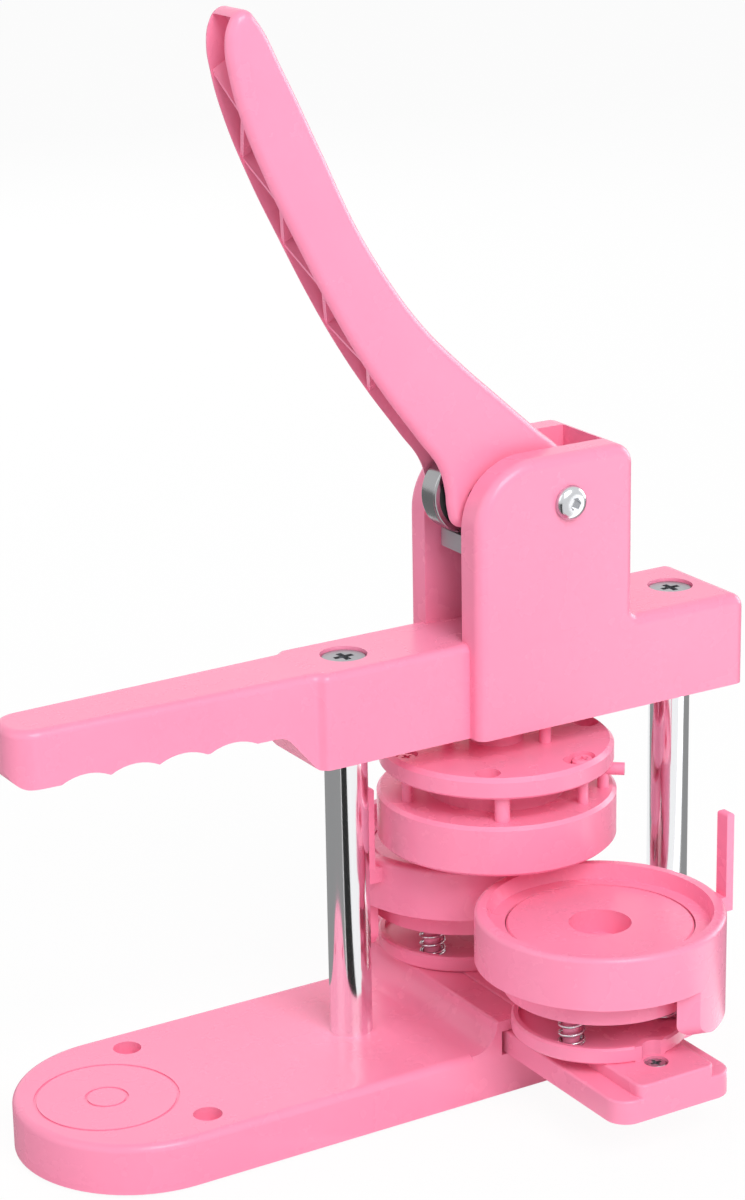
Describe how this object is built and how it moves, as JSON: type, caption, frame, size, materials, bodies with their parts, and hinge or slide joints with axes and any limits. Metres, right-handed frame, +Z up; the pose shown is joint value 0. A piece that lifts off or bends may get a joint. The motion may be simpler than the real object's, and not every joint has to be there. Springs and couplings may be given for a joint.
{
  "type": "button badge maker",
  "caption": "Hand-lever button badge press in pink plastic: columned press head with roller and ram, turning upper die, and a cross slide carrying sprung lower dies.",
  "frame": {"origin": "where the ram axis meets the table, on the underside of the foot below the ram", "axes": "+Z up along the ram, -Y toward the grip, +X along the die slide toward the front die"},
  "size_m": [0.167, 0.2622, 0.3521],
  "materials": {
    "pink_abs": "satin moulded ABS",
    "chrome_steel": "polished chrome",
    "zinc_steel": "zinc plated",
    "bright_steel": "bright steel",
    "black_rubber": "matt",
    "bronze": "oiled bearing bronze"
  },
  "bodies": {
    "frame": {"base": "pink_abs", "rubber_feet": "black_rubber", "front_column": "chrome_steel", "rear_column": "chrome_steel", "column_base_screws": "zinc_steel", "column_top_screws": "zinc_steel", "press_head": "pink_abs", "ram_bush": "bronze", "pivot_bolt": "bright_steel", "pivot_nut": "zinc_steel", "ram_return_spring": "bright_steel"},
    "lever": {"lever": "pink_abs", "pivot_sleeve": "bright_steel", "roller_axle": "bright_steel", "axle_spacers": "bright_steel", "bearing_inner_race": "bright_steel"},
    "roller": {"bearing_outer_race": "bright_steel", "bearing_seals": "black_rubber", "bearing_balls": "bright_steel"},
    "ram": {"ram_shaft": "bright_steel", "pressure_plate": "zinc_steel", "pressure_plate_screw": "zinc_steel", "upper_die_plate": "pink_abs", "guide_pins": "pink_abs", "upper_die_core": "pink_abs", "upper_core_screw": "zinc_steel"},
    "collar": {"upper_collar": "pink_abs", "collar_hanger_screws": "pink_abs"},
    "slide": {"slide_plate": "pink_abs", "stop_screws": "zinc_steel", "tray_screws": "zinc_steel", "front_tray": "pink_abs", "rear_tray": "pink_abs", "front_core": "pink_abs", "rear_core": "pink_abs", "core_screws": "zinc_steel", "front_springs": "bright_steel", "rear_springs": "bright_steel"},
    "front_ring": {"front_ring": "pink_abs"},
    "rear_ring": {"rear_ring": "pink_abs"}
  },
  "joints": [
    {"name": "lever_swing", "type": "hinge", "parent": "frame", "child": "lever", "pos_m": [0, 0.0146, 0.1903], "axis": [1, 0, 0], "range_deg": [0, 22]},
    {"name": "roller_spin", "type": "hinge", "parent": "lever", "child": "roller", "pos_m": [0, -0.0125, 0.1935], "axis": [1, 0, 0], "continuous": true},
    {"name": "ram_stroke", "type": "slide", "parent": "frame", "child": "ram", "axis": [0, 0, -1], "range_m": [0, 0.0104], "stiffness_N_per_m": 900, "springref_m": -0.016, "deforming": ["ram_return_spring"]},
    {"name": "slide_travel", "type": "slide", "parent": "frame", "child": "slide", "axis": [1, 0, 0], "range_m": [-0.0595, 0.0225]},
    {"name": "front_die_press", "type": "slide", "parent": "slide", "child": "front_ring", "axis": [0, 0, -1], "range_m": [0, 0.0048], "stiffness_N_per_m": 1500, "springref_m": -0.003, "deforming": ["front_springs"]},
    {"name": "rear_die_press", "type": "slide", "parent": "slide", "child": "rear_ring", "axis": [0, 0, -1], "range_m": [0, 0.0048], "stiffness_N_per_m": 1500, "springref_m": -0.003, "deforming": ["rear_springs"]},
    {"name": "collar_turn", "type": "hinge", "parent": "ram", "child": "collar", "pos_m": [0, 0, 0.09], "axis": [0, 0, 1], "range_deg": [-8, 0]}
  ],
  "couplings": [
    {"joint": "ram_stroke", "follows": "lever_swing", "m_per_rad": 0.027083},
    {"joint": "front_die_press", "follows": "lever_swing", "m_per_rad": 0.0125},
    {"joint": "rear_die_press", "follows": "lever_swing", "m_per_rad": 0.0125}
  ]
}
